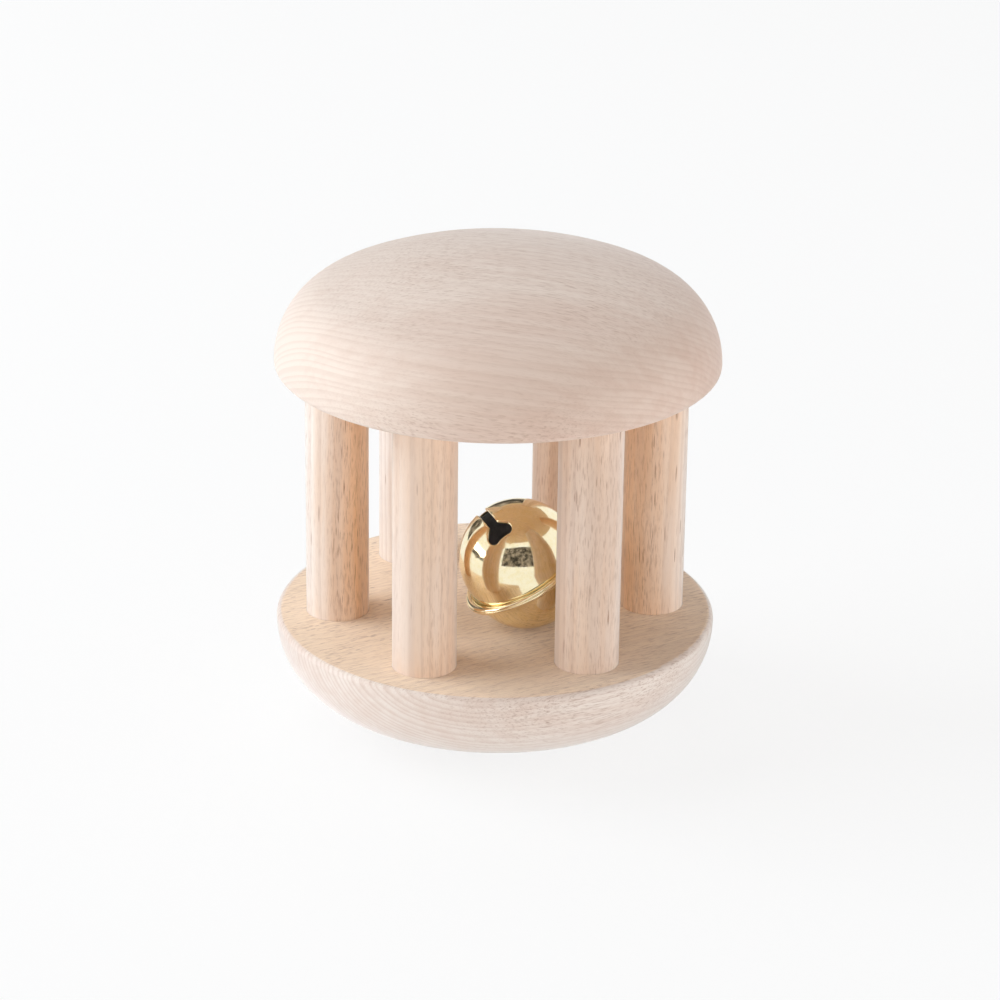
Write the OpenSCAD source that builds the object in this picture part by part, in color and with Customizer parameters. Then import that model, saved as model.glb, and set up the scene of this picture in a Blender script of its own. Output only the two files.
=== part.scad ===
// Wooden cage rattle: two turned caps, a ring of dowels between them and a loose crimped bell inside.
// Millimetres, +Z up, origin at the centre of the flat that the lower cap stands on.

/* [Caps] */
// Diameter of each turned cap
cap_d = 70; // [66:1:90]
// Thickness of each cap from its flat inner face to the top of its dome
cap_h = 18.5; // [17:0.5:24]
// Radius of the small rounding at the edge of the flat inner face
cap_edge_r = 1; // [0.5:0.25:3]
// Radius of the large rounding between the rim and the dome
cap_rim_r = 13; // [10:0.5:15]
// Diameter of the flat sanded on the lower dome so that the rattle stands
foot_d = 16; // [8:1:24]

/* [Dowels] */
// Diameter of each dowel
dowel_d = 10; // [6:0.5:11]
// Wood between each dowel and the widest part of the cap
dowel_inset = 4.75; // [3:0.25:8]
// Clear height between the two flat inner faces
cage_gap = 41.5; // [32:0.5:60]
// Chamfer at each end of a dowel
dowel_chamfer = 0.6; // [0.2:0.1:1]
// Depth of each blind dowel hole
socket_depth = 8; // [5:0.5:9]
// Room for glue all round a dowel in its hole
socket_clear = 0.05; // [0.02:0.01:0.15]
// Room for glue past each end of a dowel
socket_end_gap = 0.3; // [0.1:0.1:1]

/* [Bell] */
// Outside diameter of the two domed cups
cup_d = 18.9; // [16:0.1:24]
// Distance between the centres of the two domes
dome_gap = 2.3; // [1.5:0.05:5]
// Thickness of the drawn sheet
sheet = 0.4; // [0.3:0.05:0.5]
// How far below its widest part the plain dome ends in the crimped seam
plain_cut = 0.85; // [0.1:0.05:1.5]
// How far the crimped seam stands out from the cups
seam_w = 1.4; // [1.2:0.1:2]
// Room between the leaves of the folded seam
seam_clear = 0.03; // [0.01:0.01:0.05]
// Crevice between the folded lip and the wall of the slotted cup
lip_gap = 0.15; // [0.1:0.05:0.3]
// Radius of the line that the crimping tool leaves round the seam
crimp_r = 0.1; // [0.05:0.01:0.15]
// Angle of that line above the widest part of the seam
crimp_turn = 24; // [0:1:60]

/* [Sound slot] */
// Width of the straight middle of the slot
slot_w = 1.5; // [1:0.05:2]
// Distance of the end lobes from the middle of the slot
lobe_reach = 5.2; // [4.2:0.1:6]
// Half the distance between the two lobes at one end
lobe_spread = 1.15; // [0.8:0.05:1.5]
// Radius of each lobe
lobe_r = 0.95; // [0.9:0.05:1.2]
// How far the end of the slot reaches past the centres of its lobes
notch_reach = 0.9; // [0.5:0.05:0.9]
// How far the slot was punched off the middle of its cup
slot_offset = 0.9; // [0:0.05:1.2]
// Angle of the slot to the level line across its cup
slot_turn = 10.4; // [-20:0.1:20]

/* [Pellet] */
// Diameter of the loose ball inside the bell
pellet_d = 5; // [3:0.25:7]
// Gap between the ball and the cup that it lies in
pellet_gap = 0.1; // [0.05:0.05:0.3]

/* [Resting place of the bell] */
// Angle of the bell's axis above the horizontal
bell_tilt = 59.7; // [35:0.1:90]
// Direction that the slotted end leans in, from +X
bell_heading = 182.9; // [0:0.1:360]
// Direction from the dowel nearest to the bell to the nearest point of the bell's seam
near_heading = 124.3; // [110:0.1:140]
// Gap between that seam and that dowel
near_gap = 1.05; // [0.1:0.05:2]
// Gap between the bell and the floor of the cage
rest_gap = 0.15; // [0.1:0.05:0.5]

/* [Hidden] */
$fn = 96;
// Extra length that carries every cut past the face it opens
overrun = 1;
beech = [0.90, 0.80, 0.68];
dowel_beech = [0.87, 0.76, 0.63];
brass = [0.80, 0.64, 0.28];
steel = [0.66, 0.67, 0.68];

dowel_count = 6;
dowel_step = 360 / dowel_count;
// Dowel nearest to the bell, counted from the one on +X
near_dowel = 6;

cap_r = cap_d / 2;
rim_x = cap_r - cap_rim_r;
dome_rise = cap_h - cap_edge_r;
// The dome is the arc that is tangent to the rim's rounding and square to the axis at the top
dome_r = (rim_x ^ 2 + dome_rise ^ 2 - cap_rim_r ^ 2) / (2 * (dome_rise - cap_rim_r));
rim_turn = atan2(dome_r - dome_rise, rim_x);
foot_cut = dome_r - sqrt(dome_r ^ 2 - (foot_d / 2) ^ 2);

dowel_r = dowel_d / 2;
pitch_r = cap_r - dowel_inset - dowel_r;
socket_r = dowel_r + socket_clear;
dowel_grip = socket_depth - socket_end_gap;
dowel_l = cage_gap + 2 * dowel_grip;
floor_z = cap_h - foot_cut;
ceiling_z = floor_z + cage_gap;

cup_r = cup_d / 2;
cup_bore_r = cup_r - sheet;
// The folded lip is three leaves of sheet and two seams of clearance thick
roll_r = 1.5 * sheet + seam_clear;
roll_x = cup_r + seam_w - roll_r;
seam_y = -plain_cut;
mouth_r = sqrt(cup_bore_r ^ 2 - plain_cut ^ 2);
roll_y = seam_y + roll_r;
flange_y = seam_y + sheet + seam_clear;
lip_y = seam_y + 2 * roll_r;
pellet_r = pellet_d / 2;
pellet_drop = cup_bore_r - pellet_r - pellet_gap;

// Flat directions: the bell's axis as seen from above, and the way from the nearest dowel to the seam
axis_xy = cos(bell_tilt) * [cos(bell_heading), sin(bell_heading)];
near = [cos(near_heading), sin(near_heading)];
near_share = near * axis_xy;
// The tilted seam is a ring: this is its nearest reach towards the dowel, then the ring's centre
ring_reach = roll_x * (near - near_share * axis_xy) / sqrt(1 - near_share ^ 2);
ring_xy = dowel_xy(near_dowel) + (dowel_r + near_gap + roll_r) * near + ring_reach;
bell_xy = ring_xy - roll_y * axis_xy;
bell_z = floor_z + rest_gap + cup_r;

function dowel_xy(i) = pitch_r * [cos((i - 1) * dowel_step), sin((i - 1) * dowel_step)];

// Quarter of the plane right of and above a corner, as large as the shape it trims
module quadrant(x, y, size) {
    translate([x, y]) square(size);
}

// Half section of a cap: flat face on the X axis, dome upwards
module cap_section() {
    square([cap_r - cap_edge_r, cap_edge_r]);
    // Small rounding of the inner edge
    intersection() {
        translate([cap_r - cap_edge_r, cap_edge_r]) circle(cap_edge_r);
        quadrant(cap_r - cap_edge_r, cap_edge_r - 2 * cap_edge_r, 2 * cap_edge_r);
    }
    // Large rounding of the rim
    intersection() {
        translate([rim_x, cap_edge_r]) circle(cap_rim_r);
        translate([rim_x, cap_edge_r])
            polygon(2 * cap_rim_r * [[0, 0], [1, 0], [cos(rim_turn), sin(rim_turn)]]);
    }
    // Dome, down to the height of the rim's centre
    intersection() {
        translate([0, cap_h - dome_r]) circle(dome_r);
        polygon([
            [0, cap_edge_r],
            [rim_x, cap_edge_r],
            [rim_x + 2 * cap_rim_r * cos(rim_turn), cap_edge_r + 2 * cap_rim_r * sin(rim_turn)],
            [0, cap_edge_r + 2 * cap_h],
        ]);
    }
}

// Blind holes in a cap whose flat face is at zero and whose dome is upwards
module sockets() {
    for (i = [1 : dowel_count])
        translate(concat(dowel_xy(i), -overrun)) cylinder(h = socket_depth + overrun, r = socket_r);
}

module upper_cap() {
    color(beech) translate([0, 0, ceiling_z]) difference() {
        rotate_extrude() cap_section();
        sockets();
    }
}

module lower_cap() {
    color(beech) translate([0, 0, floor_z]) mirror([0, 0, 1]) difference() {
        rotate_extrude() intersection() {
            cap_section();
            square([cap_r + overrun, cap_h - foot_cut]);
        }
        sockets();
    }
}

module dowel(i) {
    color(dowel_beech) translate(concat(dowel_xy(i), floor_z - dowel_grip)) rotate_extrude() polygon([
        [0, 0],
        [dowel_r - dowel_chamfer, 0],
        [dowel_r, dowel_chamfer],
        [dowel_r, dowel_l - dowel_chamfer],
        [dowel_r - dowel_chamfer, dowel_l],
        [0, dowel_l],
    ]);
}

// Moves a bell drawn on +Z, with the plain dome's centre at zero, to where the bell lies
module bell_pose() {
    translate(concat(bell_xy, bell_z)) rotate([0, 90 - bell_tilt, bell_heading]) children();
}

// Quarter ring of sheet: the half section of one dome, open downwards and cut off at a height
module dome_section(cut) {
    intersection() {
        difference() {
            circle(cup_r);
            circle(cup_bore_r);
        }
        quadrant(0, cut, cup_r + overrun);
    }
}

// Half section of the slotted cup: dome, wall and the flange that the lip folds round
module slotted_cup_section() {
    translate([0, dome_gap]) dome_section(0);
    translate([cup_bore_r, flange_y]) square([sheet, dome_gap - flange_y]);
    translate([cup_r, flange_y]) square([roll_x - cup_r, sheet]);
    intersection() {
        translate([roll_x, roll_y]) circle(sheet / 2);
        quadrant(roll_x, roll_y - sheet, 2 * sheet);
    }
}

// Half section of the plain cup: dome, flange and the lip folded round the other one, with a crimp line
module plain_cup_section() {
    mirror([0, 1]) dome_section(plain_cut);
    translate([mouth_r, seam_y]) square([roll_x - mouth_r, sheet]);
    translate([cup_r + lip_gap, lip_y - sheet]) square([roll_x - cup_r - lip_gap, sheet]);
    intersection() {
        translate([roll_x, roll_y]) difference() {
            circle(roll_r);
            circle(roll_r - sheet);
            rotate(crimp_turn) translate([roll_r, 0]) circle(crimp_r);
        }
        quadrant(roll_x, roll_y - 2 * roll_r, 4 * roll_r);
    }
}

// Outline of half of the sound slot: a straight neck that flares at 45 degrees into two lobes
module slot_outline() {
    flare = lobe_r * sin(45);
    flare_x = lobe_reach - flare;
    flare_y = lobe_spread + flare;
    neck_y = slot_w / 2;
    polygon([
        [0, -neck_y],
        [flare_x - (flare_y - neck_y), -neck_y],
        [flare_x, -flare_y],
        [lobe_reach, -lobe_spread],
        [lobe_reach + notch_reach, -lobe_spread / 2],
        [lobe_reach + notch_reach, lobe_spread / 2],
        [lobe_reach, lobe_spread],
        [flare_x, flare_y],
        [flare_x - (flare_y - neck_y), neck_y],
        [0, neck_y],
    ]);
    for (side = [-1, 1])
        translate([lobe_reach, side * lobe_spread]) circle(lobe_r);
}

module bell_slotted_cup() {
    color(brass) bell_pose() difference() {
        rotate_extrude() slotted_cup_section();
        rotate(slot_turn) translate([slot_offset, 0, dome_gap]) linear_extrude(cup_r + overrun)
            for (end = [90, 270])
                rotate(end) slot_outline();
    }
}

module bell_plain_cup() {
    color(brass) bell_pose() rotate_extrude() plain_cup_section();
}

module bell_pellet() {
    color(steel) translate(concat(bell_xy, bell_z - pellet_drop)) sphere(pellet_r);
}

upper_cap();
lower_cap();
for (i = [1 : dowel_count])
    dowel(i);
bell_slotted_cup();
bell_plain_cup();
bell_pellet();
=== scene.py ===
"""Wooden cage rattle: wood, bell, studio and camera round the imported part.

Metres and degrees, except where a name or a heading says millimetres. Colours are linear."""

import math

import bpy
from mathutils import Matrix, Vector
from mathutils.geometry import delaunay_2d_cdt


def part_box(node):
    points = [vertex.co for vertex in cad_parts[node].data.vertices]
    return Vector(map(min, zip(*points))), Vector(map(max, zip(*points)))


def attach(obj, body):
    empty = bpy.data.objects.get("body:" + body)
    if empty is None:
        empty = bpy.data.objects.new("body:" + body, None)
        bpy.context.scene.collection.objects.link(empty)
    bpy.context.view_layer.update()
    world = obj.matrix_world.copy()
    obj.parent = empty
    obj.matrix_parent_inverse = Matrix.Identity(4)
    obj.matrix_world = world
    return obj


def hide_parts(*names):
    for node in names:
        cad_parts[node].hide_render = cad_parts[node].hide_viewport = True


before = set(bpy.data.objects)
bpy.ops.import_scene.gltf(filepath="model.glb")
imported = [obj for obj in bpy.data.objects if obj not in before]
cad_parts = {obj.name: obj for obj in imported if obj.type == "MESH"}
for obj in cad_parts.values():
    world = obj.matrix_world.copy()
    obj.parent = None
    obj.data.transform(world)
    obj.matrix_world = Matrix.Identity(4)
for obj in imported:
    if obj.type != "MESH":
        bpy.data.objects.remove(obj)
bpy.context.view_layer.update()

MM = 0.001
PER_METRE = 1000.0
UP = Vector((0.0, 0.0, 1.0))
ZERO = Vector((0.0, 0.0, 0.0))
WHITE = (1.0, 1.0, 1.0, 1.0)

# Camera, fitted to the dowels and caps in the photograph
CAMERA_PLACE = Vector((-0.04311, -0.54488, 0.26274))
CAMERA_HEADING = 4.584
CAMERA_PITCH = 22.498
CAMERA_ROLL = 0.734
CAMERA_LENS_MM = 134.16
CAMERA_SENSOR_MM = 36.0
CAMERA_CLIP = 0.01

# Colours of beech
BEECH_PALE = (0.82, 0.66, 0.555)
BEECH_WARM = (0.84, 0.52, 0.30)
# Rose: the wood's own tone in blotches, and painted shade where it grows along a direction
BEECH_ROSE = (0.68, 0.48, 0.39)
# Palest beech, whitened with painted light: the look of the lit sides of the lower cap and the dowels
BEECH_LIT_PALE = (0.88, 0.78, 0.71)
BEECH_DULL = (0.84, 0.705, 0.615)
# Sandy colour of the cage floor: its own tone, warmed with painted bounce light from the wood round it
CAGE_FLOOR_SAND_AND_BOUNCE = (0.94, 0.71, 0.48)
# Gold of the upper cap's underside: painted light, the bright bounce from the table below it
UNDERSIDE_LIT_GOLD = (0.90, 0.66, 0.43)
RAY_COLOUR = (0.34, 0.165, 0.09)
RING_COLOUR = (0.52, 0.34, 0.25)

# Figure of beech: sizes in millimetres, along the grain and then twice across it
WANDER_MM = (60.0, 16.0, 16.0)
RAY_PATCH_MM = (22.0, 6.0, 6.0)
BOLD_RAY_MM = (5.0, 0.36, 0.55)
FINE_RAY_ACROSS_MM = (0.25, 0.36)
FIBRE_MM = (2.2, 0.24, 0.24)
STREAK_MM = (34.0, 1.5, 1.5)
BLOTCH_MM = (30.0, 13.0, 13.0)
WANDER_DEPTH_MM = 2.5
RING_UNEVEN_MM = 3.1
RELIEF_MM = 0.05
SEED_STEP_MM = 37.0
# Figure of beech: shares
RING_UNEVENNESS = 2.4
SIDE_RING_SHARE = 0.6
FINE_RAY_SHARE = 0.7
BOLD_RAY_DEPTH = 0.75
THIN_PATCH_SHARE = 0.35
RADIAL_RAY_SHARE = 0.1
RADIAL_FIBRE_SHARE = 0.3
END_FIBRE_SHARE = 0.35
STREAK_WARMTH = 0.12
BLOTCH_WARMTH = 0.14
# How much a flat face takes its own colour, which on the caps holds painted light
FLAT_FACE_SHARE = 0.85
FIBRE_RELIEF = 0.5
RAY_RELIEF = 0.8
# Figure of beech: where a change starts and where it is complete
END_GRAIN = (0.25, 0.8)
TANGENTIAL = (0.15, 0.75)
FLAT_FACE = (0.9, 1.0)
LATE_WOOD = (0.30, 0.90)
RING_END = (1.0, 0.92)
RAY_PATCH = (0.36, 0.62)
FIBRE_DARK = (0.46, 0.76)
DASH_EDGE = (0.36, 0.20)
DASH_DARKNESS = (0.3, 1.0)
NOISE_MIDDLE = (0.3, 0.7)

# Caps: the grain and the way from the pith are fitted to the lines in the photograph
UPPER_GRAIN = Vector((0.979, -0.182, -0.092)).normalized()
UPPER_FROM_PITH = Vector((0.189, 0.646, 0.740))
UPPER_MIDDLE_MM = Vector((0.0, 0.0, 60.0))
LOWER_GRAIN_HEADING = 24.5
LOWER_FROM_PITH = Vector((-0.343, 0.752, -0.561))
LOWER_MIDDLE_MM = Vector((0.0, 0.0, 10.0))
# Dowels: heading of the way from the pith, warmth, raised as painted shade and bounce light on dowels whose
# seen sides are in the cage's shade, how it grows along X, which paints shade on the side that faces into the
# cage, depth of rays, share of bold rays, depth of fibres and palest colour, whitened with painted light on
# the first four
DOWEL_GRAIN = {
    1: (215, 0.62, -0.44, 0.75, 0.26, 0.5, BEECH_LIT_PALE),
    2: (80, 0.26, 0.0, 0.50, 0.08, 0.34, BEECH_LIT_PALE),
    3: (310, 0.0, 0.0, 0.40, 0.05, 0.34, BEECH_LIT_PALE),
    4: (320, 0.54, 0.46, 0.75, 0.12, 0.65, BEECH_LIT_PALE),
    5: (150, 0.14, 0.18, 0.25, 0.02, 0.34, BEECH_PALE),
    6: (285, 0.10, -0.05, 0.42, 0.09, 0.4, BEECH_PALE),
}
FIRST_DOWEL_SEED = 4

# Metals: colours, and sizes of their unevenness in millimetres
BRASS_PALE = (0.98, 0.885, 0.63)
BRASS_DEEP = (0.96, 0.845, 0.54)
SCALE_DARK = (0.56, 0.56, 0.57)
SCALE_PALE = (0.70, 0.70, 0.71)
STEEL_PALE = (0.50, 0.50, 0.50)
STEEL_DARK = (0.36, 0.35, 0.34)
BRASS_DENT_MM = 4.5
BRASS_HAZE_MM = 1.1
BRASS_PEEL_MM = 0.55
BRASS_RELIEF_MM = 0.12
SCALE_SPOT_MM = 0.8
STEEL_HAZE_MM = 0.4

# Bell in millimetres, its axis upwards and the centre of its plain dome at zero, as in the solids
CUP_R = 9.45
DOME_GAP = 2.3
SHEET = 0.4
PLAIN_CUT = 0.85
SEAM_W = 1.4
SEAM_CLEAR = 0.03
LIP_GAP = 0.15
CRIMP_R = 0.1
CRIMP_TURN = 24.0
NECK_Y = 0.75
LOBE_REACH = 5.2
LOBE_SPREAD = 1.15
LOBE_R = 0.95
NOTCH_REACH = 0.9
SLOT_OFFSET = 0.9
SLOT_TURN = 10.4
BELL_TILT = 59.7
BELL_HEADING = 182.9
BORE_R = CUP_R - SHEET
ROLL_R = 1.5 * SHEET + SEAM_CLEAR
ROLL_X = CUP_R + SEAM_W - ROLL_R
SEAM_Y = -PLAIN_CUT
MOUTH_R = math.sqrt(BORE_R ** 2 - PLAIN_CUT ** 2)
ROLL_Y = SEAM_Y + ROLL_R
FLANGE_Y = SEAM_Y + SHEET + SEAM_CLEAR
LIP_Y = SEAM_Y + 2 * ROLL_R
# Small roundings that the press and the tumbling leave
SLOT_EDGE = 0.24
BEND = 0.12
LIP_CROWN = 0.27
CRIMP_HALF_W = 1.4 * CRIMP_R
# Mesh of the bell: flat radius of the triangulated part round the slot and its mesh size, the turn at a
# pole that a fan closes, the angle from which an edge stays sharp, and steps of its rings and curves
CAP_REACH = 7.4
CAP_MESH = 0.36
POLE_TURN = 1.0
SHARP_ANGLE = 50.0
STEPS = 160
BEND_STEPS = 5
LIP_STEPS = 90
EDGE_STEPS = 5
NECK_STEPS = 12
FLARE_STEPS = 6
LOBE_STEPS = 24
END_STEPS = 6

# Floor: colour, half its width, and how its white share grows with the distance from the part
FLOOR_COLOUR = (0.94, 0.94, 0.94, 1.0)
FLOOR_HALF = 6.0
FLOOR_FADE = (0.5, 3.0)
FLOOR_WHITE = (0.84, 1.0)
WORLD_LEVEL = 0.19
# Lamps, which all look at one point: place, width, height, radiance and tint
DAYLIGHT = (0.94, 1.0, 1.05)
PLAIN_LIGHT = (1.0, 1.0, 1.0)
ROOM_LIGHT = (1.04, 1.0, 0.95)
LAMP_TARGET = Vector((0.0, 0.0, 0.04))
LAMPS = {
    "left_window": ((-0.92, 0.12, 0.54), 0.9, 0.8, 4.35, DAYLIGHT),
    "right_window": ((0.97, 0.0, 0.26), 0.8, 0.5, 1.5, PLAIN_LIGHT),
    "right_card": ((0.95, -0.2, 0.09), 0.8, 0.17, 5.2, PLAIN_LIGHT),
    "overhead": ((-0.3, 0.42, 0.96), 1.0, 0.8, 1.3, PLAIN_LIGHT),
    "front_card": ((0.15, -0.95, 0.1), 0.9, 0.19, 4.9, ROOM_LIGHT),
    "front_left_card": ((-0.5, -0.9, 0.3), 0.6, 0.4, 1.2, ROOM_LIGHT),
}
# Room that only shows in the brass, as upright cards: both ends, lower edge and upper edge
ROOM_DARK = (0.05, 0.045, 0.04)
ROOM_PALE = (0.46, 0.40, 0.36)
ROOM_CLUTTER = 0.17
ROOM_CARDS = {
    "room_front": ((-0.75, -1.0), (0.6, -1.0), 0.12, 0.95),
    "room_back": ((-1.0, 0.9), (0.3, 0.9), 0.04, 0.6),
    "room_left": ((-1.05, -0.5), (-1.05, 0.75), 0.04, 0.2),
}
# A glowing card that only shows in the brass: the painted reflection of a window on the left, as no lamp
# shows there
WINDOW_CARD = ((-1.04, -0.35), (-1.04, 0.6), 0.15, 0.36)
WINDOW_LEVEL = 4.0


class Shader:
    """A node tree, with short ways to add and join nodes."""

    def __init__(self, tree):
        self.tree = tree
        tree.nodes.clear()

    def add(self, kind, inputs=None, **settings):
        node = self.tree.nodes.new(kind)
        for key, value in settings.items():
            setattr(node, key, value)
        for key, value in (inputs or {}).items():
            self.feed(node.inputs[key], value)
        return node

    def feed(self, socket, value):
        if isinstance(value, bpy.types.NodeSocket):
            self.tree.links.new(value, socket)
        else:
            socket.default_value = value

    def math(self, operation, a, b=0.0, clamp=False):
        return self.add("ShaderNodeMath", {0: a, 1: b}, operation=operation, use_clamp=clamp).outputs[0]

    def vector(self, operation, a, b):
        return self.add("ShaderNodeVectorMath", {0: a, 1: b}, operation=operation).outputs[0]

    def facing(self, normal, way):
        """How squarely the surface looks in a direction, from -1 to 1 for a unit vector."""
        node = self.add("ShaderNodeVectorMath", {0: normal, 1: way}, operation="DOT_PRODUCT")
        return node.outputs["Value"]

    def ramp(self, value, low, high, to_low=0.0, to_high=1.0):
        inputs = {"Value": value, "From Min": low, "From Max": high, "To Min": to_low, "To Max": to_high}
        return self.add("ShaderNodeMapRange", inputs, interpolation_type="SMOOTHSTEP").outputs["Result"]

    def blend(self, factor, a, b):
        node = self.add("ShaderNodeMix", {0: factor}, data_type="RGBA")
        for socket, colour in ((node.inputs[6], a), (node.inputs[7], b)):
            self.feed(socket, colour if isinstance(colour, bpy.types.NodeSocket) else (*colour, 1.0))
        return node.outputs[2]

    def stretch(self, vector, sizes):
        return self.vector("MULTIPLY", vector, tuple(1.0 / size for size in sizes))

    def noise(self, vector, detail=2.0, roughness=0.5, output="Fac"):
        inputs = {"Vector": vector, "Scale": 1.0, "Detail": detail, "Roughness": roughness}
        return self.add("ShaderNodeTexNoise", inputs).outputs[output]

    def dashes(self, place, sizes, share):
        """Short dashes: stretched cells of which only some are kept, each as dark as chance has it."""
        inputs = {"Vector": self.stretch(place, sizes), "Scale": 1.0}
        cells = self.add("ShaderNodeTexVoronoi", inputs, feature="F1").outputs
        pick = self.add("ShaderNodeSeparateColor", {0: cells["Color"]}).outputs
        kept = self.math("LESS_THAN", pick[0], share)
        dash = self.math("MULTIPLY", self.ramp(cells["Distance"], *DASH_EDGE), kept)
        return self.math("MULTIPLY", dash, self.ramp(pick[1], 0.0, 1.0, *DASH_DARKNESS))

    def finish(self, surface):
        self.add("ShaderNodeOutputMaterial", {"Surface": surface})


def new_material(name):
    material = bpy.data.materials.new(name)
    material.use_nodes = True
    return material, Shader(material.node_tree)


class BeechFigure:
    """Figure of one piece of beech, as values between which its material mixes.

    axial is the way the grain runs, radial points from the pith to middle, pith_mm is how far apart those
    are, and face_way is the way that a flat face looks."""

    def __init__(self, shader, seed, axial, radial, pith_mm, middle, face_way):
        self.shader = shader
        to_grain = Matrix((axial, radial, axial.cross(radial)))
        coords = shader.add("ShaderNodeTexCoord").outputs
        self.normal = coords["Normal"]
        place = shader.add("ShaderNodeMapping", {
            "Vector": coords["Object"],
            "Location": Vector((seed * SEED_STEP_MM, 0.0, 0.0)) - to_grain @ (middle - pith_mm * radial),
            "Rotation": to_grain.to_euler(),
            "Scale": (PER_METRE,) * 3,
        }).outputs[0]
        along_grain = shader.math("ABSOLUTE", shader.facing(self.normal, axial))
        self.end_grain = shader.ramp(along_grain, *END_GRAIN)
        self.side_grain = shader.math("SUBTRACT", 1.0, self.end_grain)
        self.tangential = shader.math("ABSOLUTE", shader.facing(self.normal, radial))
        self.flat_facing = shader.facing(self.normal, face_way)
        # Slow wander of the rings
        wander = shader.noise(shader.stretch(place, WANDER_MM), 1.0, output="Color")
        wander = shader.vector("SUBTRACT", wander, (0.5,) * 3)
        wander = shader.vector("MULTIPLY", wander, (WANDER_DEPTH_MM,) * 3)
        self.grown = shader.vector("ADD", place, wander)
        self.along, out, side = shader.add("ShaderNodeSeparateXYZ", {0: self.grown}).outputs
        squares = shader.math("ADD", shader.math("MULTIPLY", out, out), shader.math("MULTIPLY", side, side))
        self.radius = shader.math("SQRT", squares)
        self.turn = shader.math("MULTIPLY", shader.math("ARCTAN2", side, out), pith_mm)

    def rings(self, ring_mm, depth):
        """Uneven growth rings: a slow darkening that ends in a thin line, clearest on end grain."""
        shader = self.shader
        slow_radius = shader.math("DIVIDE", self.radius, RING_UNEVEN_MM)
        outwards = shader.add("ShaderNodeCombineXYZ", {0: slow_radius}).outputs[0]
        uneven = shader.math("MULTIPLY", shader.noise(outwards), RING_UNEVENNESS)
        phase = shader.math("ADD", shader.math("DIVIDE", self.radius, ring_mm), uneven)
        phase = shader.math("FRACT", phase)
        ring = shader.math("MULTIPLY", shader.ramp(phase, *LATE_WOOD), shader.ramp(phase, *RING_END))
        shown = shader.ramp(self.end_grain, 0.0, 1.0, SIDE_RING_SHARE * depth, depth)
        return shader.math("MULTIPLY", ring, shown)

    def rays(self, length_mm, depth, face_depth, bold_share):
        """Rays: thin plates that show end on, as short dashes along the grain, on tangential faces."""
        shader = self.shader
        place = shader.add("ShaderNodeCombineXYZ", {0: self.along, 1: self.turn, 2: self.radius}).outputs[0]
        patch = shader.noise(shader.stretch(self.grown, RAY_PATCH_MM), 1.0)
        patch = shader.ramp(patch, *RAY_PATCH, THIN_PATCH_SHARE, 1.0)
        shown = shader.ramp(self.tangential, *TANGENTIAL, RADIAL_RAY_SHARE, 1.0)
        patch = shader.math("MULTIPLY", patch, shown)
        fine = shader.dashes(place, (length_mm, *FINE_RAY_ACROSS_MM), FINE_RAY_SHARE)
        fine = shader.math("MULTIPLY", fine, patch)
        fine = shader.math("MULTIPLY", fine, shader.ramp(self.flat_facing, *FLAT_FACE, depth, face_depth))
        bold = shader.dashes(place, BOLD_RAY_MM, bold_share)
        fleck = shader.math("ADD", fine, shader.math("MULTIPLY", bold, BOLD_RAY_DEPTH), clamp=True)
        return shader.math("MULTIPLY", fleck, shader.math("POWER", self.side_grain, 2.0))

    def strands(self, fibre, depth):
        """Dark fibres, fainter on end grain and on radial faces."""
        shader = self.shader
        strand = shader.ramp(fibre, *FIBRE_DARK, 0.0, depth)
        on_side = shader.ramp(self.side_grain, 0.0, 1.0, END_FIBRE_SHARE, 1.0)
        on_tangent = shader.ramp(self.tangential, *TANGENTIAL, RADIAL_FIBRE_SHARE, 1.0)
        return shader.math("MULTIPLY", shader.math("MULTIPLY", strand, on_side), on_tangent)

    def warm_share(self, warmth, shade_lean):
        """Share of the warm colour: streaks and slow blotches of the wood's own, and painted shade that grows
        in one direction.
        """
        shader = self.shader
        streak = shader.noise(shader.stretch(self.grown, STREAK_MM))
        streak = shader.ramp(streak, *NOISE_MIDDLE, -STREAK_WARMTH, STREAK_WARMTH)
        blotch = shader.noise(shader.stretch(self.grown, BLOTCH_MM), 1.0)
        blotch = shader.ramp(blotch, *NOISE_MIDDLE, warmth - BLOTCH_WARMTH, warmth + BLOTCH_WARMTH)
        share = shader.math("ADD", streak, blotch)
        # painted shade: the warm colour grows towards where the direction points
        return shader.math("ADD", share, shader.facing(self.normal, shade_lean), clamp=True)


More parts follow.
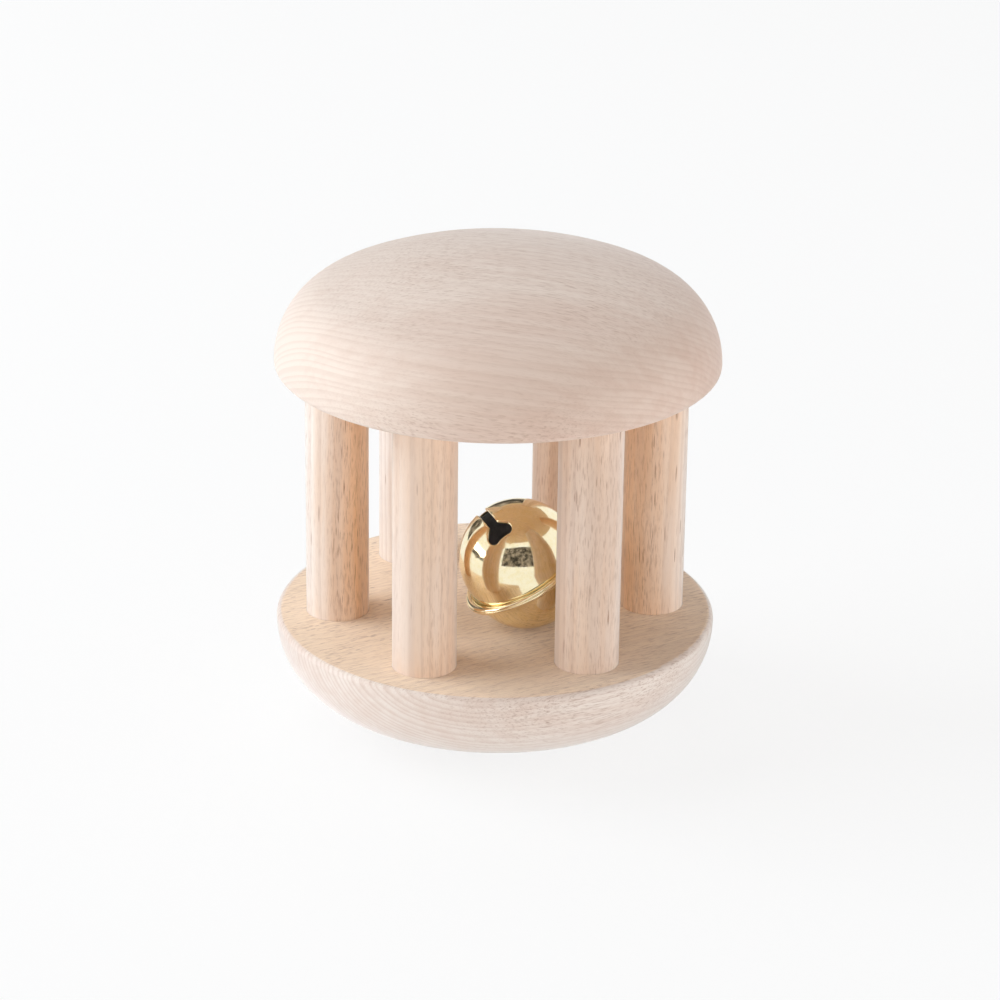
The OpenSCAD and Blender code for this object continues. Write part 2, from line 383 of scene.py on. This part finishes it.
def beech(name, seed, axial, radial, *, pith_mm, ring_mm, ring_depth, pale, warmth, shade_lean, ray_depth,
          fibre_depth, middle=ZERO, warm=BEECH_WARM, ray_mm=2.6, bold_share=0.0, face_way=UP,
          face_colour=BEECH_PALE, face_ray_depth=0.4, sheen=0.8):
    """Solid beech, finely sanded: growth rings round a pith, ray flecks along the grain, and fibres.

    The first values are those of its figure. warmth is the share of the warm colour, which on some
    dowels also holds painted shade, and a direction makes the warm colour grow that way as painted shade.
    ray_mm is about twice the length of a common ray, the depths say how dark rings, rays and fibres show,
    and bold_share how many cells hold a long dark ray. A flat face keeps a colour and rays of its own,
    and on the caps that colour holds painted light."""
    material, shader = new_material(name)
    figure = BeechFigure(shader, seed, axial, radial, pith_mm, middle, face_way)
    fibre = shader.noise(shader.stretch(figure.grown, FIBRE_MM), 3.0, 0.6)
    fleck = figure.rays(ray_mm, ray_depth, face_ray_depth, bold_share)
    colour = shader.blend(figure.warm_share(warmth, shade_lean), pale, warm)
    # flat faces take their own colour, which on the caps holds painted light
    colour = shader.blend(shader.ramp(figure.flat_facing, *FLAT_FACE, 0.0, FLAT_FACE_SHARE), colour, face_colour)
    colour = shader.blend(figure.rings(ring_mm, ring_depth), colour, RING_COLOUR)
    colour = shader.blend(figure.strands(fibre, fibre_depth), colour, RAY_COLOUR)
    colour = shader.blend(fleck, colour, RAY_COLOUR)
    relief = shader.math("MULTIPLY", fibre, FIBRE_RELIEF)
    relief = shader.math("SUBTRACT", relief, shader.math("MULTIPLY", fleck, RAY_RELIEF))
    bump = shader.add("ShaderNodeBump", {"Height": relief, "Strength": 0.35, "Distance": RELIEF_MM * MM})
    shader.finish(shader.add("ShaderNodeBsdfPrincipled", {
        "Base Color": colour,
        "Roughness": shader.ramp(fibre, 0.2, 0.8, 0.52, 0.68),
        "Specular IOR Level": 0.4,
        "Sheen Weight": sheen,
        "Sheen Roughness": 0.45,
        "Normal": bump.outputs[0],
    }).outputs[0])
    return material


def brass():
    """Polished brass sheet, with the faint unevenness of a pressed and tumbled bell."""
    material, shader = new_material("polished_brass")
    coords = shader.add("ShaderNodeTexCoord").outputs["Object"]
    place = shader.stretch(coords, (MM,) * 3)
    dents = shader.noise(shader.stretch(place, (BRASS_DENT_MM,) * 3), 1.0)
    haze = shader.noise(shader.stretch(place, (BRASS_HAZE_MM,) * 3), 4.0, 0.65)
    peel = shader.noise(shader.stretch(place, (BRASS_PEEL_MM,) * 3), 1.0)
    peel = shader.math("MULTIPLY", peel, shader.ramp(dents, 0.45, 0.7, 0.0, 0.06))
    relief = shader.math("ADD", dents, peel)
    bump = shader.add("ShaderNodeBump", {"Height": relief, "Strength": 0.4, "Distance": BRASS_RELIEF_MM * MM})
    shader.finish(shader.add("ShaderNodeBsdfPrincipled", {
        "Base Color": shader.blend(shader.ramp(haze, 0.35, 0.7), BRASS_PALE, BRASS_DEEP),
        "Metallic": 1.0,
        "Roughness": shader.ramp(haze, 0.3, 0.75, 0.05, 0.12),
        "Normal": bump.outputs[0],
    }).outputs[0])
    return material


def scale_brass():
    """Inside of the cups, which no polish reaches: dull, and grey with scale."""
    material, shader = new_material("scaled_brass")
    coords = shader.add("ShaderNodeTexCoord").outputs["Object"]
    spots = shader.noise(shader.stretch(coords, (SCALE_SPOT_MM * MM,) * 3), 4.0, 0.6)
    shader.finish(shader.add("ShaderNodeBsdfPrincipled", {
        "Base Color": shader.blend(shader.ramp(spots, *NOISE_MIDDLE), SCALE_DARK, SCALE_PALE),
        "Metallic": 0.1,
        "Roughness": shader.ramp(spots, *NOISE_MIDDLE, 0.5, 0.7),
    }).outputs[0])
    return material


def steel():
    """Plain steel ball with a dull tumbled surface."""
    material, shader = new_material("tumbled_steel")
    coords = shader.add("ShaderNodeTexCoord").outputs["Object"]
    haze = shader.noise(shader.stretch(coords, (STEEL_HAZE_MM * MM,) * 3), 4.0)
    shader.finish(shader.add("ShaderNodeBsdfPrincipled", {
        "Base Color": shader.blend(shader.ramp(haze, *NOISE_MIDDLE), STEEL_PALE, STEEL_DARK),
        "Metallic": 1.0,
        "Roughness": shader.ramp(haze, *NOISE_MIDDLE, 0.22, 0.38),
    }).outputs[0])
    return material


def flat_direction(degrees):
    return Vector((math.cos(math.radians(degrees)), math.sin(math.radians(degrees)), 0.0))


def square_to(vector, axis):
    """The unit vector nearest to vector that is square to axis."""
    return (vector - vector.dot(axis) * axis).normalized()


def dress(node, material):
    """Gives a node of the solids its material."""
    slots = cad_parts[node].data.materials
    for index in range(len(slots)):
        slots[index] = material


def dress_caps():
    upper_radial = square_to(UPPER_FROM_PITH, UPPER_GRAIN)
    # The rose grows towards the right and front of the upper cap as painted shade; the gold of its flat
    # underside is painted light.
    dress("upper_cap", beech(
        "beech_upper_cap", 1, UPPER_GRAIN, upper_radial, middle=UPPER_MIDDLE_MM, pith_mm=64.0,
        ring_mm=1.05, ring_depth=0.2, pale=BEECH_DULL, warm=BEECH_ROSE, warmth=0.14,
        shade_lean=Vector((0.42, -0.3, 0.0)), ray_mm=3.8, ray_depth=0.5, fibre_depth=0.4,
        face_way=-UP, face_colour=UNDERSIDE_LIT_GOLD, face_ray_depth=0.5, sheen=0.3))
    lower_grain = flat_direction(LOWER_GRAIN_HEADING)
    lower_radial = square_to(LOWER_FROM_PITH, lower_grain)
    # The rose grows towards the left of the lower cap as painted shade, and its pale colour holds painted
    # light.
    dress("lower_cap", beech(
        "beech_lower_cap", 2, lower_grain, lower_radial, middle=LOWER_MIDDLE_MM, pith_mm=35.0,
        ring_mm=0.95, ring_depth=0.3, pale=BEECH_LIT_PALE, warm=BEECH_ROSE, warmth=0.15,
        shade_lean=Vector((-0.2, 0.0, 0.0)), ray_mm=1.7, ray_depth=0.45, bold_share=0.02, fibre_depth=0.6,
        face_colour=CAGE_FLOOR_SAND_AND_BOUNCE, face_ray_depth=1.0))


def dress_dowels():
    for number, (heading, warmth, shade_lean, rays, bold, fibres, pale) in DOWEL_GRAIN.items():
        dress(f"dowel_{number}", beech(
            f"beech_dowel_{number}", FIRST_DOWEL_SEED + number - 1, UP, flat_direction(heading),
            pith_mm=50.0, ring_mm=1.6, ring_depth=0.4, pale=pale, warmth=warmth,
            shade_lean=Vector((shade_lean, 0.0, 0.0)), ray_depth=rays, bold_share=bold, fibre_depth=fibres))


def arc(x, y, radius, start, end, count):
    """Points of an arc in the half section, from start to end degrees."""
    turns = [math.radians(start + (end - start) * i / count) for i in range(count + 1)]
    return [(x + radius * math.cos(turn), y + radius * math.sin(turn)) for turn in turns]


def dome_height(radius, x, y):
    """Height of the slotted dome over a flat point of the bell's frame."""
    return DOME_GAP + math.sqrt(radius ** 2 - x * x - y * y)


def bell_place():
    """Puts the bell's own frame, in millimetres, where the solids have it."""
    pellet_low, pellet_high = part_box("bell_pellet")
    cup_low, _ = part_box("bell_plain_cup")
    centre = (Vector(pellet_low) + Vector(pellet_high)) / 2
    centre.z = cup_low[2] + CUP_R * MM
    heading = Matrix.Rotation(math.radians(BELL_HEADING), 4, "Z")
    tilt = Matrix.Rotation(math.radians(90.0 - BELL_TILT), 4, "Y")
    return Matrix.Translation(centre) @ (heading @ tilt) @ Matrix.Scale(MM, 4)


class Shell:
    """Mesh of one bell cup: faces are kept apart as polished outside and scaled inside."""

    def __init__(self):
        self.points = []
        self.faces = []
        self.inside = []

    def point(self, x, y, z):
        self.points.append((x, y, z))
        return len(self.points) - 1

    def face(self, corners, inside):
        self.faces.append(corners)
        self.inside.append(inside)

    def ring(self, r, y):
        turns = [2 * math.pi * i / STEPS for i in range(STEPS)]
        return [self.point(r * math.cos(turn), r * math.sin(turn), y) for turn in turns]

    def bridge(self, ring_a, ring_b, inside):
        count = len(ring_a)
        for i in range(count):
            j = (i + 1) % count
            self.face((ring_a[i], ring_a[j], ring_b[j], ring_b[i]), inside)

    def lathe(self, section, inside):
        """Turns the open half section and gives its first and last rings."""
        rings = [self.ring(r, y) for r, y in section]
        for ring_a, ring_b in zip(rings, rings[1:]):
            self.bridge(ring_a, ring_b, inside)
        return rings[0], rings[-1]

    def close(self, ring, y, inside, upwards):
        """Fans a small ring to a point on the axis."""
        pole = self.point(0.0, 0.0, y)
        for i in range(STEPS):
            j = (i + 1) % STEPS
            self.face((ring[i], ring[j], pole) if upwards else (ring[j], ring[i], pole), inside)

    def piece(self, name, node, materials):
        """Makes the mesh a piece that takes the place of a cup of the solids."""
        mesh = bpy.data.meshes.new(name)
        mesh.from_pydata(self.points, [], self.faces)
        mesh.transform(bell_place())
        for material in materials:
            mesh.materials.append(material)
        mesh.polygons.foreach_set("material_index", [int(inside) for inside in self.inside])
        mesh.polygons.foreach_set("use_smooth", [True] * len(self.faces))
        mesh.set_sharp_from_angle(angle=math.radians(SHARP_ANGLE))
        mesh.validate()
        piece = bpy.data.objects.new(name, mesh)
        bpy.context.scene.collection.objects.link(piece)
        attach(piece, "bell")
        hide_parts(node)


def lip_section():
    """Outside of the folded lip, from its underside over the crimp line to its inner end."""
    points = []
    for i in range(LIP_STEPS + 1):
        turn = -90.0 + 180.0 * i / LIP_STEPS
        off = math.radians(turn - CRIMP_TURN) * ROLL_R / CRIMP_HALF_W
        depth = CRIMP_R * (1 - off * off) ** 2 if abs(off) < 1 else 0.0
        points += arc(ROLL_X, ROLL_Y, ROLL_R - depth, turn, turn, count=1)[:1]
    end = CUP_R + LIP_GAP
    crown = arc(0, 0, 1, 90, 180, count=16)[1:]
    points += [(ROLL_X + (ROLL_X - end) * x, LIP_Y - LIP_CROWN + LIP_CROWN * y) for x, y in crown]
    return points + [(end, LIP_Y - SHEET)]


def plain_cup(materials):
    """The cup whose lip is folded over the other one's flange."""
    shell = Shell()
    outer_end = math.asin((PLAIN_CUT + BEND) / CUP_R)
    inner_end = math.degrees(math.asin(PLAIN_CUT / BORE_R))
    outside = arc(0, 0, CUP_R, -90 + POLE_TURN, -math.degrees(outer_end), count=48)
    outside += arc(CUP_R * math.cos(outer_end) + BEND, SEAM_Y - BEND, BEND, 180, 90, BEND_STEPS)
    outside += lip_section()
    inside = arc(ROLL_X, ROLL_Y, ROLL_R - SHEET, 90, -90, count=10)
    inside += [(MOUTH_R, SEAM_Y + SHEET)]
    inside += arc(0, 0, BORE_R, -inner_end, -90 + POLE_TURN, count=40)
    first, seam_a = shell.lathe(outside, False)
    seam_b, last = shell.lathe(inside, True)
    shell.bridge(seam_a, seam_b, True)
    shell.close(first, -CUP_R, False, False)
    shell.close(last, -BORE_R, True, True)
    shell.piece("bell_plain_shell", "bell_plain_cup", materials)


def slot_quarter(grow):
    """A quarter of the slot's outline, moved outwards: neck, 45 degree flare, lobe and straight end."""
    lobe = LOBE_R + grow
    neck = NECK_Y + grow
    end = LOBE_REACH + NOTCH_REACH + grow
    flare_x = LOBE_REACH - lobe * math.sqrt(0.5)
    flare_y = LOBE_SPREAD + lobe * math.sqrt(0.5)
    start_x = flare_x - (flare_y - neck)
    points = [(start_x * i / NECK_STEPS, neck) for i in range(NECK_STEPS)]
    for i in range(FLARE_STEPS):
        x = start_x + (flare_x - start_x) * i / FLARE_STEPS
        y = neck + (flare_y - neck) * i / FLARE_STEPS
        points.append((x, y))
    stop = -math.degrees(math.acos((NOTCH_REACH + grow) / lobe))
    points += arc(LOBE_REACH, LOBE_SPREAD, lobe, 135, stop, LOBE_STEPS)
    last_y = points[-1][1]
    points += [(end, last_y * (1 - i / END_STEPS)) for i in range(1, END_STEPS + 1)]
    return points


def slot_loop(grow):
    """The whole outline in the bell's frame, where the slot runs nearly along Y, off the middle."""
    quarter = slot_quarter(grow)
    half = quarter[:-1] + [(x, -y) for x, y in reversed(quarter)][:-1]
    loop = half + [(-x, -y) for x, y in half]
    turn = Matrix.Rotation(math.radians(SLOT_TURN), 2)
    return [tuple(turn @ Vector((y + SLOT_OFFSET, x))) for x, y in loop]


def in_slot(x, y, grow):
    """Whether a flat point of the bell's frame lies in the slot, moved outwards by grow."""
    across, along = Matrix.Rotation(math.radians(-SLOT_TURN), 2) @ Vector((x, y))
    x, y = abs(along), abs(across - SLOT_OFFSET)
    lobe = LOBE_R + grow
    flare_x = LOBE_REACH - lobe * math.sqrt(0.5)
    rise = LOBE_SPREAD - LOBE_REACH + lobe * math.sqrt(2.0)
    end = LOBE_REACH + NOTCH_REACH + grow
    in_neck = y <= NECK_Y + grow and x <= end
    in_lobe = math.hypot(x - LOBE_REACH, y - LOBE_SPREAD) <= lobe
    in_flare = x <= flare_x and y <= x + rise
    in_middle = flare_x <= x <= end and y <= LOBE_SPREAD
    return in_neck or in_lobe or in_flare or in_middle


def rows_round_slot(grow):
    """Flat points in rings of CAP_MESH round the axis, apart from those in or close to the slot."""
    points = []
    rows = int(CAP_REACH / CAP_MESH)
    for row in range(1, rows):
        r = CAP_REACH * row / rows
        count = 6 * row
        for i in range(count):
            turn = 2 * math.pi * (i + 0.5 * (row % 2)) / count
            x, y = r * math.cos(turn), r * math.sin(turn)
            if not in_slot(x, y, grow + 0.5 * CAP_MESH):
                points.append(Vector((x, y)))
    return points


def slotted_cap(shell, ring, loop, radius, inside):
    """Triangles on the dome between a ring of the lathe and a loop round the slot."""
    grow = 0.0 if inside else SLOT_EDGE
    fixed = ring + loop
    flat = [Vector(shell.points[i][:2]) for i in fixed] + rows_round_slot(grow)
    edges = [(i, (i + 1) % STEPS) for i in range(STEPS)]
    edges += [(STEPS + i, STEPS + (i + 1) % len(loop)) for i in range(len(loop))]
    places, _, faces, sources, _, _ = delaunay_2d_cdt(flat, edges, [], 0, 1e-6)
    names = []
    for place, source in zip(places, sources):
        if source and source[0] < len(fixed):
            names.append(fixed[source[0]])
        else:
            names.append(shell.point(place.x, place.y, dome_height(radius, place.x, place.y)))
    for face in faces:
        middle = sum((places[i] for i in face), Vector((0.0, 0.0))) / len(face)
        if not in_slot(middle.x, middle.y, grow):
            corners = [names[i] for i in face]
            shell.face(tuple(reversed(corners)) if inside else tuple(corners), inside)


def slot_wall(shell):
    """Rounded edge of the slot and then its wall. Gives the loops at its outer and inner ends."""
    loops = []
    for i in range(EDGE_STEPS + 1):
        turn = math.radians(90.0 * i / EDGE_STEPS)
        depth = SLOT_EDGE * (1 - math.cos(turn))
        flat = slot_loop(SLOT_EDGE * (1 - math.sin(turn)))
        loops.append([shell.point(x, y, dome_height(CUP_R, x, y) - depth) for x, y in flat])
    loops.append([shell.point(x, y, dome_height(BORE_R, x, y)) for x, y in slot_loop(0.0)])
    for loop_a, loop_b in zip(loops, loops[1:]):
        shell.bridge(loop_a, loop_b, False)
    return loops[0], loops[-1]


def slotted_cup(materials):
    """The cup with the flange and the slot."""
    shell = Shell()
    outer_turn = math.degrees(math.acos(CAP_REACH / CUP_R))
    inner_turn = math.degrees(math.acos(CAP_REACH / BORE_R))
    outside = arc(0, DOME_GAP, CUP_R, outer_turn, 0, count=28)
    outside += arc(CUP_R + BEND, FLANGE_Y + SHEET + BEND, BEND, 180, 270, BEND_STEPS)
    outside += arc(ROLL_X, ROLL_Y, SHEET / 2, 90, -90, count=8)
    inside = [(BORE_R, FLANGE_Y)] + arc(0, DOME_GAP, BORE_R, 0, inner_turn, count=24)
    outer_ring, seam_a = shell.lathe(outside, False)
    seam_b, inner_ring = shell.lathe(inside, True)
    shell.bridge(seam_a, seam_b, True)
    outer_loop, inner_loop = slot_wall(shell)
    slotted_cap(shell, outer_ring, outer_loop, CUP_R, False)
    slotted_cap(shell, inner_ring, inner_loop, BORE_R, True)
    shell.piece("bell_slotted_shell", "bell_slotted_cup", materials)


def seen_white(shader):
    """1 for a ray that the camera, a mirror or a glass sends, 0 for one that only carries light."""
    path = shader.add("ShaderNodeLightPath").outputs
    seen = shader.math("MAXIMUM", path["Is Camera Ray"], path["Is Glossy Ray"])
    return shader.math("MAXIMUM", seen, path["Is Transmission Ray"])


def stage_sheet(name, corners, material):
    mesh = bpy.data.meshes.new(name)
    mesh.from_pydata(corners, [], [(0, 1, 2, 3)])
    mesh.materials.append(material)
    sheet = bpy.data.objects.new(name, mesh)
    bpy.context.scene.collection.objects.link(sheet)
    return sheet


def make_floor():
    """White table that keeps the shadow near the part and fades to plain white far off."""
    material, shader = new_material("white_table")
    matt = shader.add("ShaderNodeBsdfDiffuse", {"Color": FLOOR_COLOUR}).outputs[0]
    glow = shader.add("ShaderNodeEmission", {"Color": WHITE, "Strength": 1.0}).outputs[0]
    coords = shader.add("ShaderNodeTexCoord").outputs["Object"]
    away = shader.add("ShaderNodeVectorMath", {0: coords}, operation="LENGTH").outputs["Value"]
    white = shader.math("MULTIPLY", seen_white(shader), shader.ramp(away, *FLOOR_FADE, *FLOOR_WHITE))
    shader.finish(shader.add("ShaderNodeMixShader", {0: white, 1: matt, 2: glow}).outputs[0])
    half = FLOOR_HALF
    stage_sheet("floor", [(-half, -half, 0), (half, -half, 0), (half, half, 0), (-half, half, 0)], material)


def make_world():
    world = bpy.data.worlds.new("studio")
    bpy.context.scene.world = world
    world.use_nodes = True
    shader = Shader(world.node_tree)
    level = shader.ramp(seen_white(shader), 0.0, 1.0, WORLD_LEVEL, 1.0)
    sky = shader.add("ShaderNodeBackground", {"Color": WHITE, "Strength": level}).outputs[0]
    shader.add("ShaderNodeOutputWorld", {"Surface": sky})


def softbox(name, place, width, height, radiance, tint):
    light = bpy.data.lights.new(name, "AREA")
    light.color = tint
    light.shape = "RECTANGLE"
    light.size = width
    light.size_y = height
    light.energy = radiance * math.pi * width * height
    lamp = bpy.data.objects.new(name, light)
    lamp.location = place
    lamp.visible_glossy = False
    lamp.rotation_euler = (LAMP_TARGET - Vector(place)).to_track_quat("-Z", "Y").to_euler()
    bpy.context.scene.collection.objects.link(lamp)


def dark_room():
    """Plain dark clutter."""
    material, shader = new_material("dark_room")
    coords = shader.add("ShaderNodeTexCoord").outputs["Object"]
    clutter = shader.noise(shader.stretch(coords, (ROOM_CLUTTER,) * 3), 5.0, 0.7)
    shade = shader.blend(shader.ramp(clutter, 0.40, 0.66), ROOM_DARK, ROOM_PALE)
    shader.finish(shader.add("ShaderNodeEmission", {"Color": shade, "Strength": 1.0}).outputs[0])
    return material


def bright_window():
    material, shader = new_material("bright_window")
    glow = shader.add("ShaderNodeEmission", {"Color": WHITE, "Strength": WINDOW_LEVEL})
    shader.finish(glow.outputs[0])
    return material


def room_card(name, end_a, end_b, z0, z1, material):
    """A part of the room that only shows in the brass: an upright card between two floor points."""
    (x0, y0), (x1, y1) = end_a, end_b
    card = stage_sheet(name, [(x0, y0, z0), (x1, y1, z0), (x1, y1, z1), (x0, y0, z1)], material)
    card.visible_camera = False
    card.visible_diffuse = False
    card.visible_shadow = False


def make_camera():
    heading, pitch, roll = (math.radians(v) for v in (CAMERA_HEADING, CAMERA_PITCH, CAMERA_ROLL))
    ahead = Vector((
        math.sin(heading) * math.cos(pitch),
        math.cos(heading) * math.cos(pitch),
        -math.sin(pitch),
    ))
    right = ahead.cross(UP).normalized()
    up = right.cross(ahead)
    rolled_right = math.cos(roll) * right + math.sin(roll) * up
    rolled_up = math.cos(roll) * up - math.sin(roll) * right
    data = bpy.data.cameras.new("camera")
    data.sensor_fit = "HORIZONTAL"
    data.sensor_width = CAMERA_SENSOR_MM
    data.lens = CAMERA_LENS_MM
    data.clip_start = CAMERA_CLIP
    camera = bpy.data.objects.new("camera", data)
    turn = Matrix((rolled_right, rolled_up, -ahead)).transposed().to_4x4()
    camera.matrix_world = Matrix.Translation(CAMERA_PLACE) @ turn
    bpy.context.scene.collection.objects.link(camera)
    bpy.context.scene.camera = camera


dress_caps()
dress_dowels()
dress("bell_pellet", steel())
cup_finish = [brass(), scale_brass()]
plain_cup(cup_finish)
slotted_cup(cup_finish)

make_floor()
make_world()
for lamp_name, lamp_values in LAMPS.items():
    softbox(lamp_name, *lamp_values)
room = dark_room()
for card_name, card_values in ROOM_CARDS.items():
    room_card(card_name, *card_values, room)
room_card("window_left", *WINDOW_CARD, bright_window())
make_camera()
bpy.context.scene.view_settings.view_transform = "Standard"
